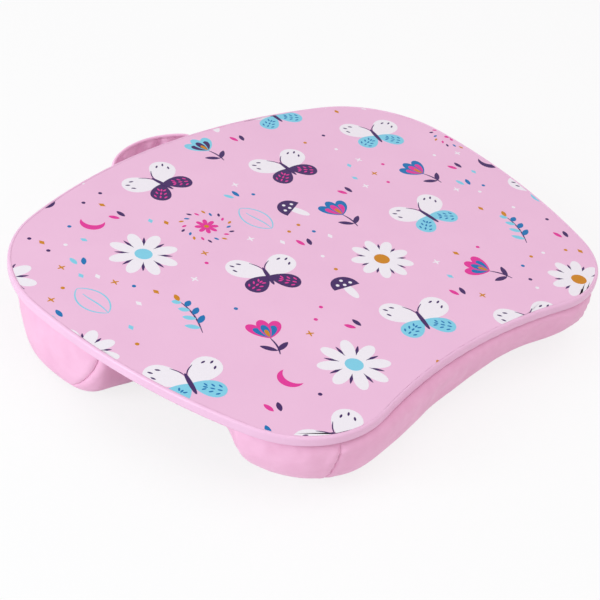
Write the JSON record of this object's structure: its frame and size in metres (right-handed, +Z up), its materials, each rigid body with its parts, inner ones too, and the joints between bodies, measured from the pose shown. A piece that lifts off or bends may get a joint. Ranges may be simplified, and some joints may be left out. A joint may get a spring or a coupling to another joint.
{
  "type": "lap tray with cushion",
  "caption": "Lap tray: a thin printed board with rounded edging on a cushion of sewn bolsters that leave an open channel for the lap, with a cloth carrying handle behind the back edge.",
  "frame": {"origin": "on the floor, below the middle of the whole tray with its handle", "axes": "+X to the user's right along the board, +Y away from the user to the handle, +Z up"},
  "size_m": [0.4508, 0.3764, 0.0615],
  "materials": {
    "printed_laminate": "satin melamine with a small print",
    "fibreboard": "raw medium density fibreboard",
    "backing_paper": "plain balancing laminate",
    "pink_edging": "smooth moulded edging",
    "tape": "double-sided tape",
    "pink_cloth": "soft brushed polyester",
    "strap_cloth": "soft brushed polyester, folded",
    "filling": "loose polyester fibre"
  },
  "bodies": {
    "tray": {"board_core": "fibreboard", "printed_top_sheet": "printed_laminate", "backing_sheet": "backing_paper", "edge_trim": "pink_edging", "bond_strips": "tape", "base_cloth": "pink_cloth", "front_bolster_cover": "pink_cloth", "front_left_end_cap": "pink_cloth", "front_right_end_cap": "pink_cloth", "front_bolster_filling": "filling", "rear_bolster_cover": "pink_cloth", "rear_left_end_cap": "pink_cloth", "rear_right_end_cap": "pink_cloth", "rear_bolster_filling": "filling", "handle_left_end": "strap_cloth", "handle_right_end": "strap_cloth"},
    "handle": {"handle_strap": "strap_cloth"}
  },
  "joints": [
    {"name": "handle_swing", "type": "hinge", "parent": "tray", "child": "handle", "pos_m": [0, 0.16471, 0.0323], "axis": [1, 0, 0], "range_deg": [-45, 50]}
  ]
}
